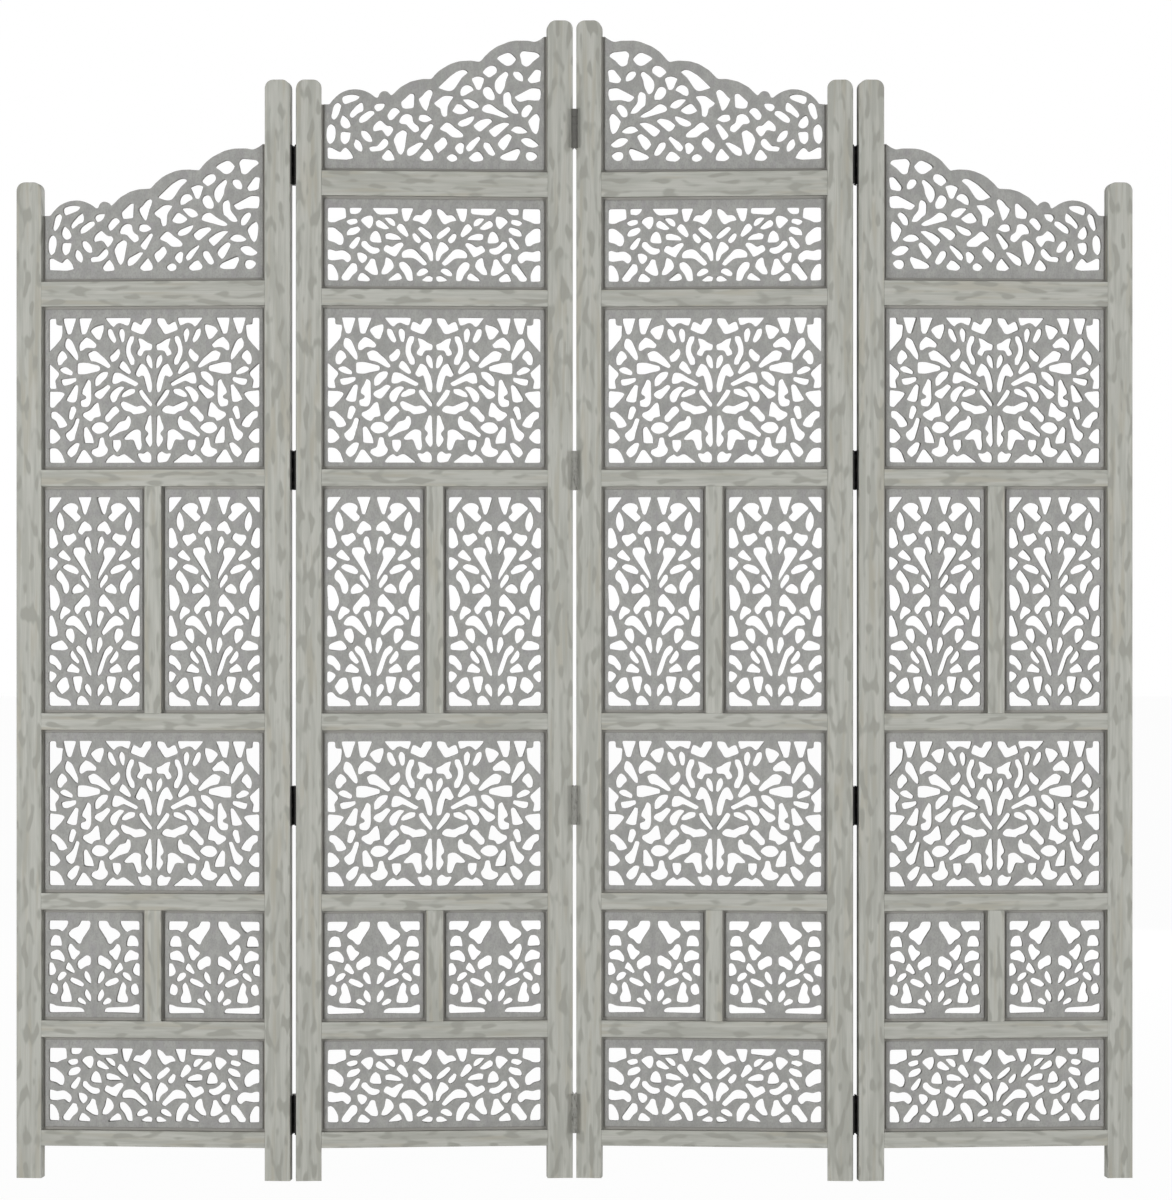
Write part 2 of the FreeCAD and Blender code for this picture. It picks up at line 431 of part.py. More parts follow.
def sawn_edge(poles):
    """Smooth cut from the first of some points to the last, drawn towards those between."""
    if len(poles) == 2:
        return Part.makeLine(*poles)
    spans = len(poles) - 2
    mults = [3] + [1] * (spans - 1) + [3]
    curve = Part.BSplineCurve()
    curve.buildFromPolesMultsKnots(poles, mults, list(range(spans + 1)), False, 2)
    return curve.toShape()


def hole_wire(points, y):
    """Hole sawn along a ring of guide points, smooth from each sharp tip to the next."""
    poles = [at(point, y) for point in grown(points, saw_cut)]
    count = len(poles)
    tips = [index for index in range(count) if turn_at(points, index) > tip_turn]
    if not tips:
        curve = Part.BSplineCurve()
        curve.buildFromPolesMultsKnots(poles, [1] * (count + 1), list(range(count + 1)), True, 2)
        return Part.Wire(curve.toShape())
    edges = []
    for start, end in zip(tips, tips[1:] + [tips[0] + count]):
        edges.append(sawn_edge([poles[index % count] for index in range(start, end + 1)]))
    return Part.Wire(edges)


def plate(outline, holes, thickness):
    """Plate in the XZ plane, evenly about y = 0, with an outline wire maker and fretted holes."""
    y = -thickness / 2
    wires = [outline(y)] + [hole_wire(points, y) for points in holes]
    flat = Part.makeFace(wires, "Part::FaceMakerBullseye")
    return flat.extrude(Vector(0, thickness, 0))


def stem_holes(design, drawn, width, height, base):
    """Holes of a design that is mirrored about its stem, fitted to a field."""
    across = (width / 2 - stem_gain) / drawn[0]
    up = height / drawn[1]
    holes = []
    for points in design:
        right = [(stem_gain + x * across, base + z * up) for x, z in points]
        holes.append(right)
        holes.append([(-x, z) for x, z in right])
    return holes


def board(design, drawn, width, height, rim_side):
    """Carved board for an opening, its middle at x = 0 and the foot of the opening at z = 0."""
    field_half = width / 2 - channel_width
    field_z = (channel_width, height - channel_width)
    carved_height = height - 2 * channel_width - rim_top - rim_bottom
    carved_width = 2 * (field_half - rim_side)
    holes = stem_holes(design, drawn, carved_width, carved_height, channel_width + rim_bottom)

    def outline(y):
        corners = [(-field_half, field_z[0]), (field_half, field_z[0]),
                   (field_half, field_z[1]), (-field_half, field_z[1])]
        return Part.makePolygon([at(corner, y) for corner in corners + corners[:1]])

    thin = both_ways(tongue_thickness / 2)
    tongue = box(both_ways(width / 2 + tongue_reach), thin, (-tongue_reach, height + tongue_reach))
    tongue = tongue.cut(box(both_ways(field_half), thin, field_z))
    return plate(outline, holes, board_thickness).fuse(tongue).removeSplitter()


def crest_board(rises_right):
    """Scalloped board on top of a panel, its middle at x = 0 and its foot line at z = 0."""
    across = opening_width / crest_drawn[0]
    climb = (crest_high_height - crest_low_height) / (crest_drawn[1] - crest_scallops[0][0][1])
    side = 1 if rises_right else -1

    def fitted(point):
        z = point[1]
        low = crest_scallops[0][0][1]
        foot = channel_width + crest_rim
        if z > low:
            z = crest_low_height + (z - low) * climb
        else:
            z = foot + (z - crest_drawn_foot) * (crest_low_height - foot) / (low - crest_drawn_foot)
        return (side * (point[0] * across - opening_width / 2), z)

    edge = opening_width / 2 - channel_width

    def outline(y):
        corners = [(-side * edge, crest_low_height), (-side * edge, channel_width),
                   (side * edge, channel_width), (side * edge, crest_high_height)]
        wire_edges = []
        last = None
        for scallop in crest_scallops:
            start, middle, end = [at(fitted(point), y) for point in scallop]
            if scallop is crest_scallops[-1]:
                end = at(corners[-1], y)
            if last is None:
                wire_edges.append(Part.makeLine(at(corners[0], y), start))
            elif last.distanceToPoint(start) > same_point:
                wire_edges.append(Part.makeLine(last, start))
            wire_edges.append(Part.Arc(start, middle, end).toShape())
            last = end
        for before, after in zip(corners, corners[1:]):
            wire_edges.append(Part.makeLine(at(before, y), at(after, y)))
        return Part.Wire(Part.__sortEdges__(wire_edges))

    holes = [[fitted(point) for point in points] for points in crest_holes]
    solid = plate(outline, holes, board_thickness)
    thin = both_ways(tongue_thickness / 2)
    reach = opening_width / 2 + tongue_reach
    solid = solid.fuse([
        box(both_ways(reach), thin, (-tongue_reach, channel_width)),
        box((-side * reach, -side * edge), thin, (-tongue_reach, crest_low_height)),
        box((side * edge, side * reach), thin, (-tongue_reach, crest_high_height)),
    ])
    return solid.removeSplitter()


def stile(low_x, height, inner_side, groove_z, tenons, screw_points):
    """Upright with a rounded top, a groove and mortises on its inner edge, and screw holes."""
    high_x = low_x + stile_width
    inner = high_x if inner_side > 0 else low_x
    outer = low_x if inner_side > 0 else high_x
    spring = height - top_round
    inset = top_round * (1 - math.sqrt(0.5))
    y = -face
    left_arc = [(low_x, spring), (low_x + inset, height - inset), (low_x + top_round, height)]
    right_arc = [(high_x - top_round, height), (high_x - inset, height - inset), (high_x, spring)]
    edges = [
        Part.makeLine(at((low_x, 0), y), at(left_arc[0], y)),
        Part.Arc(*[at(point, y) for point in left_arc]).toShape(),
        Part.makeLine(at(left_arc[2], y), at(right_arc[0], y)),
        Part.Arc(*[at(point, y) for point in right_arc]).toShape(),
        Part.makeLine(at(right_arc[2], y), at((high_x, 0), y)),
        Part.makeLine(at((high_x, 0), y), at((low_x, 0), y)),
    ]
    solid = Part.Face(Part.Wire(edges)).extrude(Vector(0, frame_thickness, 0))
    cuts = [box((inner - inner_side * groove_depth, inner), both_ways(groove_width / 2), groove_z)]
    depth = tenon_length + tenon_end_play
    for low, high in tenons:
        mortise_z = (low - tenon_play, high + tenon_play)
        mortise_y = both_ways(tenon_thickness / 2 + tenon_play)
        cuts.append(box((inner - inner_side * depth, inner), mortise_y, mortise_z))
    hole_depth = screw_length - leaf_thickness + screw_end_play
    for point_y, point_z in screw_points:
        mouth = Vector(outer, point_y, point_z)
        into = Vector(inner_side, 0, 0)
        cuts.append(Part.makeCylinder(screw_radius + screw_play, hole_depth, mouth, into))
    return solid.cut(cuts)


def tenon_span(low, height, groove_below, groove_above):
    """Heights between which a rail's tenons lie, clear of the grooves in its edges."""
    bottom = low + (groove_depth if groove_below else tenon_shoulder)
    top = low + height - (groove_depth if groove_above else tenon_shoulder)
    return (bottom + tenon_play, top - tenon_play)


def rail(low, height, groove_below):
    """Crossbar between the stiles, with a tenon at each end and grooves for the boards."""
    ends = (stile_width, panel_width - stile_width)
    solid = box(ends, both_ways(face), (low, low + height))
    tenon_ends = (ends[0] - tenon_length, ends[1] + tenon_length)
    tenon_z = tenon_span(low, height, groove_below, True)
    solid = solid.fuse(box(tenon_ends, both_ways(tenon_thickness / 2), tenon_z))
    groove_y = both_ways(groove_width / 2)
    cuts = [box(ends, groove_y, (low + height - groove_depth, low + height))]
    if groove_below:
        cuts.append(box(ends, groove_y, (low, low + groove_depth)))
    return solid.cut(cuts).removeSplitter()


def muntin(low, height):
    """Short upright between two narrow boards, with a stub tenon at each end."""
    middle = panel_width / 2
    half = muntin_width / 2
    solid = box((middle - half, middle + half), both_ways(face), (low, low + height))
    groove_y = both_ways(groove_width / 2)
    solid = solid.cut([
        box((middle - half, middle - half + groove_depth), groove_y, (low, low + height)),
        box((middle + half - groove_depth, middle + half), groove_y, (low, low + height)),
    ])
    stub = half - groove_depth - tenon_play
    stub_z = (low - tongue_reach, low + height + tongue_reach)
    solid = solid.fuse(box((middle - stub, middle + stub), both_ways(tongue_thickness / 2), stub_z))
    return solid.removeSplitter()


def screw_places(back):
    """Places of a leaf's screws: depth across the stile and height from the hinge's middle."""
    spacing = hinge_length / screws_per_leaf
    places = []
    for index in range(screws_per_leaf):
        height = (index - (screws_per_leaf - 1) / 2) * spacing
        sway = screw_sway * (-1) ** index
        places.append((back * (face - leaf_width / 2 + sway), height))
    return places


def knuckle_span(index):
    """Bottom of one knuckle's share of the hinge, from the hinge's middle, and its length."""
    length = hinge_length / knuckle_count
    return index * length - hinge_length / 2, length


def hinge_leaf(axis, side, back, own_first, height):
    """Leaf on a stile's edge: side is +1 on a right panel, back is +1 for knuckles at the rear."""
    low = height - hinge_length / 2
    plate_x = (axis.x + side * leaf_face, axis.x + side * hinge_gap / 2)
    solid = box(plate_x, (axis.y, axis.y - back * leaf_end), (low, low + hinge_length))
    rooms = []
    for index in range(knuckle_count):
        start, length = knuckle_span(index)
        own = index % 2 == (0 if own_first else 1)
        if own:
            foot = Vector(axis.x, axis.y, height + start + knuckle_play)
            solid = solid.fuse(Part.makeCylinder(knuckle_radius, length - 2 * knuckle_play, foot))
        else:
            foot = Vector(axis.x, axis.y, height + start - knuckle_play)
            rooms.append(Part.makeCylinder(knuckle_radius + knuckle_room, length + 2 * knuckle_play, foot))
    solid = solid.cut(rooms)
    bore_foot = Vector(axis.x, axis.y, low - knuckle_play)
    bore_length = hinge_length + 2 * knuckle_play
    cuts = [Part.makeCylinder(pin_radius + pin_play, bore_length, bore_foot)]
    into = Vector(side, 0, 0)
    for point_y, rise in screw_places(back):
        mouth = Vector(plate_x[0], point_y, height + rise)
        cuts.append(Part.makeCylinder(screw_radius + screw_play, leaf_thickness, mouth, into))
        cuts.append(Part.makeCone(screw_head_radius + screw_play, screw_radius + screw_play,
                                  screw_head_height, mouth, into))
    return solid.cut(cuts).removeSplitter()


def hinge_pin(axis, height):
    """Pin through a hinge's knuckles."""
    return Part.makeCylinder(pin_radius, hinge_length, Vector(axis.x, axis.y, height - hinge_length / 2))


def screw(axis_x, side, point_y, height):
    """Countersunk slotted screw, driven into a stile from the hinge gap."""
    into = Vector(side, 0, 0)
    head = Vector(axis_x + side * leaf_face, point_y, height)
    solid = Part.makeCone(screw_head_radius, screw_radius, screw_head_height, head, into)
    shank = screw_length - screw_tip_length
    solid = solid.fuse([
        Part.makeCylinder(screw_radius, shank, head, into),
        Part.makeCone(screw_radius, 0, screw_tip_length, head + into * shank, into),
    ])
    slot = box((head.x, head.x + side * screw_slot_depth),
               (point_y - screw_slot_width / 2, point_y + screw_slot_width / 2),
               (height - screw_head_radius, height + screw_head_radius))
    return solid.cut(slot).removeSplitter()


def panel_stack(inner):
    """Rails (low, height) and openings (kind: low) of a panel, from the floor up."""
    kinds = [("border", border_opening_height), ("square", square_opening_height),
             ("lower_tree", tree_opening_height), ("tall", tall_opening_height),
             ("upper_tree", tree_opening_height)]
    if inner:
        kinds.append(("upper_border", border_opening_height))
    rails = [(foot_height, bottom_rail_height)]
    openings = {}
    for kind, height in kinds:
        low = sum(rails[-1])
        openings[kind] = low
        last = kind == kinds[-1][0]
        rails.append((low + height, crest_rail_height if last else cross_rail_height))
    return rails, openings, sum(rails[-1])


def moved(shape, x, z):
    """Copy of a shape, shifted in the panel's plane."""
    copy = shape.copy()
    copy.translate(Vector(x, 0, z))
    return copy


def joint_axis(right_of_joint, back):
    """Hinge axis in the frame of the panel on one side of a joint."""
    x = -hinge_gap / 2 if right_of_joint else panel_width + hinge_gap / 2
    return Vector(x, back * axis_offset, 0)


def brought(turn, local, world):
    """Placement that turns a panel about Z and brings a point of it onto a point of the room."""
    rotation = FreeCAD.Rotation(Vector(0, 0, 1), turn)
    return FreeCAD.Placement(world - rotation.multVec(local), rotation)


def save(name, solids, place):
    """Writes the solids of one node, placed in the room."""
    placed = []
    for solid in solids:
        copy = solid.copy()
        copy.Placement = place.multiply(copy.Placement)
        placed.append(copy)
    node = placed[0] if len(placed) == 1 else Part.makeCompound(placed)
    node.exportStep("parts/" + name + ".step")


os.makedirs("parts", exist_ok=True)

# Where the crest rails end, and the stile heights that follow
outer_crest_low = panel_stack(False)[2]
inner_crest_low = panel_stack(True)[2]
outer_stile_height = outer_crest_low + crest_low_height + outer_stile_rise
near_stile_height = inner_crest_low + crest_low_height + near_stile_rise
centre_stile_height = inner_crest_low + crest_high_height + centre_stile_rise

# Joints from left to right: knuckles at the back (+1) or the front (-1), and the hinge heights
joint_backs = (1, -1, 1)
near_hinges = lower_hinge_heights + (near_stile_height - top_hinge_drop_near,)
centre_hinges = lower_hinge_heights + (centre_stile_height - top_hinge_drop_centre,)
joint_hinges = (near_hinges, centre_hinges, near_hinges)

# Panels from left to right: turn out of line, and heights of the left and right stiles
panel_turns = (-stand_angle, stand_angle, -stand_angle, stand_angle)
panel_heights = ((outer_stile_height, near_stile_height), (near_stile_height, centre_stile_height),
                 (centre_stile_height, near_stile_height), (near_stile_height, outer_stile_height))

# Panels hang together from the centre joint outwards
centre = Vector(0, 0, 0)
place_2 = brought(panel_turns[1], joint_axis(False, joint_backs[1]), centre)
place_3 = brought(panel_turns[2], joint_axis(True, joint_backs[1]), centre)
left_joint = place_2.multVec(joint_axis(True, joint_backs[0]))
right_joint = place_3.multVec(joint_axis(False, joint_backs[2]))
place_1 = brought(panel_turns[0], joint_axis(False, joint_backs[0]), left_joint)
place_4 = brought(panel_turns[3], joint_axis(True, joint_backs[2]), right_joint)
places = (place_1, place_2, place_3, place_4)

# The zigzag is then set evenly about y = 0
corners = [Vector(x, y, 0) for x in (0, panel_width) for y in (-face, face)]
depths = [place.multVec(corner).y for place in places for corner in corners]
middle_shift = Vector(0, -(min(depths) + max(depths)) / 2, 0)
for place in places:
    place.Base = place.Base + middle_shift
for name, point in (("left", left_joint), ("centre", centre), ("right", right_joint)):
    print(name, "joint axis", [round(value, 4) for value in point + middle_shift])

# Boards, each design made once
tree = board(tree_holes, tree_drawn, opening_width, tree_opening_height, rim_side_wide)
border = board(border_holes, border_drawn, opening_width, border_opening_height, rim_side_wide)
tall = board(tall_holes, tall_drawn, narrow_opening_width, tall_opening_height, rim_side_narrow)
square = board(square_holes, square_drawn, narrow_opening_width, square_opening_height, rim_side_narrow)
crests = {True: crest_board(True), False: crest_board(False)}

middle_x = panel_width / 2
pair_x = (stile_width + narrow_opening_width / 2, panel_width - stile_width - narrow_opening_width / 2)

for index, place in enumerate(places):
    label = "panel_%d_" % (index + 1)
    inner = index in (1, 2)
    rises_right = index < 2
    rails, openings, crest_low = panel_stack(inner)
    spans = [tenon_span(low, height, low > foot_height, True) for low, height in rails]
    groove_foot = openings["border"] - groove_depth
    end_heights = (crest_low_height, crest_high_height)
    if not rises_right:
        end_heights = end_heights[::-1]

    # Stiles, each with the screws of the hinges on its outer edge
    screws = []
    for right in (False, True):
        joint = index - 1 + right
        screw_points = []
        if 0 <= joint < len(joint_backs):
            axis = joint_axis(not right, joint_backs[joint])
            side = -1 if right else 1
            for hinge_height in joint_hinges[joint]:
                for point_y, rise in screw_places(joint_backs[joint]):
                    screw_points.append((point_y, hinge_height + rise))
                    screws.append(screw(axis.x, side, point_y, hinge_height + rise))
            leaves = [hinge_leaf(axis, side, joint_backs[joint], right, height)
                      for height in joint_hinges[joint]]
            hinge_name = "hinges_%d_%d_" % (joint + 1, joint + 2)
            save(hinge_name + ("left_leaves" if right else "right_leaves"), leaves, place)
            if right:
                pins = [hinge_pin(axis, height) for height in joint_hinges[joint]]
                save(hinge_name + "pins", pins, place)
        groove_z = (groove_foot, crest_low + end_heights[right] + tongue_end_play)
        low_x = panel_width - stile_width if right else 0
        height = panel_heights[index][right]
        upright = stile(low_x, height, -1 if right else 1, groove_z, spans, screw_points)
        save(label + ("right_stile" if right else "left_stile"), [upright], place)
    save(label + "hinge_screws", screws, place)

    # Rails and muntins
    bars = [rail(low, height, low > foot_height) for low, height in rails]
    save(label + "bottom_rail", bars[:1], place)
    save(label + "cross_rails", bars[1:], place)
    muntins = [muntin(openings["square"], square_opening_height),
               muntin(openings["tall"], tall_opening_height)]
    save(label + "muntins", muntins, place)

    # Fretwork
    save(label + "border_board", [moved(border, middle_x, openings["border"])], place)
    save(label + "square_boards", [moved(square, x, openings["square"]) for x in pair_x], place)
    save(label + "lower_tree_board", [moved(tree, middle_x, openings["lower_tree"])], place)
    save(label + "tall_boards", [moved(tall, x, openings["tall"]) for x in pair_x], place)
    save(label + "upper_tree_board", [moved(tree, middle_x, openings["upper_tree"])], place)
    if inner:
        save(label + "upper_border_board", [moved(border, middle_x, openings["upper_border"])], place)
    save(label + "crest_board", [moved(crests[rises_right], middle_x, crest_low)], place)
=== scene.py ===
import json
import math

import bmesh
import bpy
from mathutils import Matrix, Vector

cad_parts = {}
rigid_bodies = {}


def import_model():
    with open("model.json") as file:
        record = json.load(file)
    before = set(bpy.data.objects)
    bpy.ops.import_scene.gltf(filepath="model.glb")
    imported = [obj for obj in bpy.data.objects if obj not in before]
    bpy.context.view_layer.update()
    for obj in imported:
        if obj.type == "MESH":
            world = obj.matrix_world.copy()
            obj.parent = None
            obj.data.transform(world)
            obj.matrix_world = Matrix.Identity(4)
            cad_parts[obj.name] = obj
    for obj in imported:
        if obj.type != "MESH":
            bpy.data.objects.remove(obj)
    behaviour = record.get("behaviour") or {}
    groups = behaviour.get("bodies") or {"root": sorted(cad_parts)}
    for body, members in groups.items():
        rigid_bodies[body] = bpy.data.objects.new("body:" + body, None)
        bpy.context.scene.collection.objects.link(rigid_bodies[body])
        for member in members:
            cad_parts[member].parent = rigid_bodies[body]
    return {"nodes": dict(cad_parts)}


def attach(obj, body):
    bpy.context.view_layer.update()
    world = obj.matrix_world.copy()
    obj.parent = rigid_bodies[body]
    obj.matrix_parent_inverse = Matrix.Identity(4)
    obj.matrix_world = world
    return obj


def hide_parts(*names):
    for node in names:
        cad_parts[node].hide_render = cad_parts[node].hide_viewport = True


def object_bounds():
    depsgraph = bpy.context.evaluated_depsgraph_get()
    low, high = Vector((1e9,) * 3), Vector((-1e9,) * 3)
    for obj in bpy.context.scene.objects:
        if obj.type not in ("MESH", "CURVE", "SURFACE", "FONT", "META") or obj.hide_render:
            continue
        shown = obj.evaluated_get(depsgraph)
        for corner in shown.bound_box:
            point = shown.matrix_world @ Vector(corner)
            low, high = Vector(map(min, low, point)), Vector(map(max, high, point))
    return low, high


# Folding screen of four panels in grey-washed wood, in its shallow zigzag on a pale studio floor.
# Metres, +Z up, front towards -Y.

for leftover in list(bpy.data.objects):
    bpy.data.objects.remove(leftover)
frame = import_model()
cad_low, cad_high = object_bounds()

MM = 0.001

# How the panels stand: turn of each one out of line, in degrees, from left to right
PANEL_TURNS = {1: -5.0, 2: 5.0, 3: -5.0, 4: 5.0}

# Half the thickness of a carved board's field, and of its tongue, which shows as the sunk channel
BOARD_FACE = 4.0 * MM
TONGUE_FACE = 2.0 * MM

# Points closer than WELD are one point, and what is within FLAT of a depth lies at that depth
WELD = 0.002 * MM
FLAT = 0.05 * MM

# Cosines: from the first on a face looks straight to the front or back, below the second a wall
# stands across its board, and from the third on an edge runs along the grain
LOOKS_OUT = 0.999
STANDS_ACROSS = 0.5
RUNS_ALONG = 0.9

# Facets that meet at less than this are one face: on sawn outlines, and on planed bars
SAW_FACET = math.radians(9.0)
PLANED_FACET = math.radians(0.5)

# Sanded saw cuts: length of the steps of an outline, rounds of smoothing, easing of the rims, and
# the width of slivers and gaps that are closed up
CUT_STEP = 1.2 * MM
CUT_ROUNDS = 6
HOLE_ROUND = 0.7 * MM
SLIVER = 0.05 * MM
RIM_WELD = 0.25 * MM

# Planed bars: rounding of the arrises
ARRIS_ROUND = 0.9 * MM
ARRIS_STEPS = 3

# Folds sharper than this stay sharp in the shading
SHARP_FOLD = math.radians(50.0)

# Grain of one plank is shifted this far from the next, so that no two look alike
GRAIN_STEP = 3.37


def panel_axes(panel):
    """Directions along the width of a panel and towards its back."""
    turn = math.radians(PANEL_TURNS[panel])
    return Vector((math.cos(turn), math.sin(turn), 0)), Vector((-math.sin(turn), math.cos(turn), 0))


def node_mesh(node):
    """Editable copy of a node's mesh, welded into closed solids."""
    mesh = bmesh.new()
    mesh.from_mesh(frame["nodes"][node].data)
    bmesh.ops.remove_doubles(mesh, verts=mesh.verts, dist=WELD)
    return mesh


def faces_at(mesh, back, depth):
    """Faces that lie flat at one depth of a panel."""
    found = []
    for face in mesh.faces:
        if abs(face.normal.dot(back)) > LOOKS_OUT:
            if abs(face.calc_center_median().dot(back) - depth) < FLAT:
                found.append(face)
    return found


def depth_range(mesh, back):
    """Depths of the front and the back of a piece."""
    depths = [vert.co.dot(back) for vert in mesh.verts]
    return min(depths), max(depths)


def planks(mesh):
    """Lists of the vertices of each closed solid in a mesh."""
    left = set(mesh.verts)
    groups = []
    for start in mesh.verts:
        if start not in left:
            continue
        left.discard(start)
        group = [start]
        for vert in group:
            for edge in vert.link_edges:
                other = edge.other_vert(vert)
                if other in left:
                    left.discard(other)
                    group.append(other)
        groups.append(group)
    return groups


def cut_rims(mesh, back):
    """Edges along the saw cuts on both faces of a board, listed wall by wall."""
    front_depth, back_depth = depth_range(mesh, back)
    rims = []
    for face in mesh.faces:
        if abs(face.normal.dot(back)) > STANDS_ACROSS:
            continue
        depths = [vert.co.dot(back) for vert in face.verts]
        if min(depths) < front_depth + FLAT and max(depths) > back_depth - FLAT:
            rims.append([edge for edge in face.edges
                         if abs((edge.verts[1].co - edge.verts[0].co).dot(back)) < FLAT])
    return rims


def divide_cuts(mesh, back):
    """Divides the edges along the saw cuts into short even steps."""
    by_count = {}
    for wall in cut_rims(mesh, back):
        length = sum(edge.calc_length() for edge in wall) / len(wall)
        by_count.setdefault(round(length / CUT_STEP) - 1, []).extend(wall)
    for count, edges in by_count.items():
        if count > 0:
            bmesh.ops.subdivide_edges(mesh, edges=edges, cuts=count)


def soften_cuts(mesh, back):
    """Rounds the outlines of the saw cuts, and most of all their tips, as sanding does."""
    beside = {}
    for wall in cut_rims(mesh, back):
        for edge in wall:
            for vert in edge.verts:
                beside.setdefault(vert, []).append(edge.other_vert(vert))
    for _ in range(CUT_ROUNDS):
        places = {vert: vert.co / 2 + (pair[0].co + pair[1].co) / 4
                  for vert, pair in beside.items() if len(pair) == 2}
        for vert, place in places.items():
            vert.co = place


def fill_face(mesh, back, depth, inward):
    """Closes the open face of each board at one depth with triangles that look outwards."""
    number = mesh.verts.layers.int["board"]
    boards = {}
    for edge in mesh.edges:
        if edge.is_boundary and abs(edge.verts[0].co.dot(back) - depth) < FLAT:
            boards.setdefault(edge.verts[0][number], []).append(edge)
    flat = []
    for edges in boards.values():
        filled = bmesh.ops.triangle_fill(mesh, edges=edges, normal=-inward * back, use_beauty=True)
        flat += [part for part in filled["geom"] if isinstance(part, bmesh.types.BMFace)]
    for face in flat:
        face.normal_update()
        if face.normal.dot(back) * inward > 0:
            face.normal_flip()
    seams = list({edge: None for face in flat for edge in face.edges})
    bmesh.ops.dissolve_degenerate(mesh, dist=SLIVER, edges=seams)


def ease_rims(mesh, back, depth, inward):
    """Eases the rim of a board's face at one depth, and the rims of the holes in it."""
    flat = faces_at(mesh, back, depth)
    wall_verts = {vert for face in flat for vert in face.verts}
    bmesh.ops.inset_region(mesh, faces=flat, use_boundary=True, thickness=HOLE_ROUND)
    field_verts = {vert for face in flat for vert in face.verts}
    for vert in wall_verts - field_verts:
        vert.co += back * inward * HOLE_ROUND
    for vert in field_verts:
        vert.co += back * (depth - vert.co.dot(back))
    close_verts = [vert for vert in mesh.verts if vert in field_verts]
    bmesh.ops.remove_doubles(mesh, verts=close_verts, dist=RIM_WELD)


def eased_board(node, panel):
    """Fretted board with its saw-cut edges eased on both faces."""
    back = panel_axes(panel)[1]
    mesh = node_mesh(node)
    channel = mesh.verts.layers.float.new("channel")
    board = mesh.verts.layers.int.new("board")
    bmesh.ops.dissolve_limit(mesh, angle_limit=SAW_FACET, verts=mesh.verts, edges=mesh.edges)
    for index, group in enumerate(planks(mesh)):
        for vert in group:
            vert[board] = index
    front_depth, back_depth = depth_range(mesh, back)
    flat = faces_at(mesh, back, front_depth) + faces_at(mesh, back, back_depth)
    bmesh.ops.delete(mesh, geom=flat, context="FACES")
    divide_cuts(mesh, back)
    soften_cuts(mesh, back)
    for depth in (front_depth + BOARD_FACE - TONGUE_FACE, back_depth - BOARD_FACE + TONGUE_FACE):
        for face in faces_at(mesh, back, depth):
            for vert in face.verts:
                vert[channel] = 1.0
    for depth, inward in ((front_depth, 1), (back_depth, -1)):
        fill_face(mesh, back, depth, inward)
        ease_rims(mesh, back, depth, inward)
    mesh.verts.layers.int.remove(board)
    return mesh


def eased_bar(node, panel, grain, ends_show):
    """Stile, rail or muntin with its arrises eased; ends that butt on another bar stay sharp."""
    back = panel_axes(panel)[1]
    mesh = node_mesh(node)
    rubbed = mesh.verts.layers.float.new("rubbed")
    bmesh.ops.dissolve_limit(mesh, angle_limit=PLANED_FACET, verts=mesh.verts, edges=mesh.edges)
    arrises = set()
    for depth in depth_range(mesh, back):
        flat = set(faces_at(mesh, back, depth))
        for face in flat:
            for edge in face.edges:
                run = (edge.verts[1].co - edge.verts[0].co).normalized()
                along = abs(run.dot(grain)) > RUNS_ALONG
                if (along or ends_show) and any(other not in flat for other in edge.link_faces):
                    arrises.add(edge)
    eased = bmesh.ops.bevel(mesh, geom=[edge for edge in mesh.edges if edge in arrises],
                            offset=ARRIS_ROUND, offset_type="OFFSET", affect="EDGES",
                            segments=ARRIS_STEPS, profile=0.5, material=-1, clamp_overlap=True)
    for vert in eased["verts"]:
        vert[rubbed] = 1.0
    return mesh


def lay_grain(mesh, panel, upright, first):
    """Stores where each point lies in its plank: across the grain, in depth and along the grain."""
    across_axis, back = panel_axes(panel)
    along_axis = Vector((0, 0, 1))
    if not upright:
        across_axis, along_axis = along_axis, across_axis
    layer = mesh.verts.layers.float_vector.new("grain")
    groups = planks(mesh)
    for index, group in enumerate(groups):
        middles = []
        for axis in (across_axis, back):
            spots = [vert.co.dot(axis) for vert in group]
            middles.append((min(spots) + max(spots)) / 2)
        shift = GRAIN_STEP * (first + index)
        for vert in group:
            vert[layer] = (vert.co.dot(across_axis) - middles[0], vert.co.dot(back) - middles[1],
                           vert.co.dot(along_axis) + shift)
    return len(groups)


# Relief of the surfaces, and the low sheen of washed wood
BUMP_STRENGTH = 0.5
WOOD_SHEEN = 0.3

# The hinges at the top have their own tone, which comes in between these heights in metres
TOP_HINGES = (1.2, 1.4)


def colour(code):
    """sRGB hex colour as linear red, green, blue and alpha."""
    parts = [int(code[place:place + 2], 16) / 255 for place in (1, 3, 5)]
    linear = [part / 12.92 if part <= 0.04045 else ((part + 0.055) / 1.055) ** 2.4
              for part in parts]
    return linear + [1.0]


def add(tree, kind, settings, links):
    """Adds a shader node: its properties, and its sockets by name or number, set or linked."""
    node = tree.nodes.new(kind)
    for name, value in settings.items():
        setattr(node, name, value)
    for socket, value in links.items():
        if isinstance(value, bpy.types.NodeSocket):
            tree.links.new(value, node.inputs[socket])
        else:
            node.inputs[socket].default_value = value
    return node.outputs


def blank(name):
    """Material with nothing but its shader."""
    material = bpy.data.materials.new(name)
    material.use_nodes = True
    tree = material.node_tree
    tree.nodes.clear()
    shader = tree.nodes.new("ShaderNodeBsdfPrincipled")
    add(tree, "ShaderNodeOutputMaterial", {}, {"Surface": shader.outputs["BSDF"]})
    return material, tree, shader


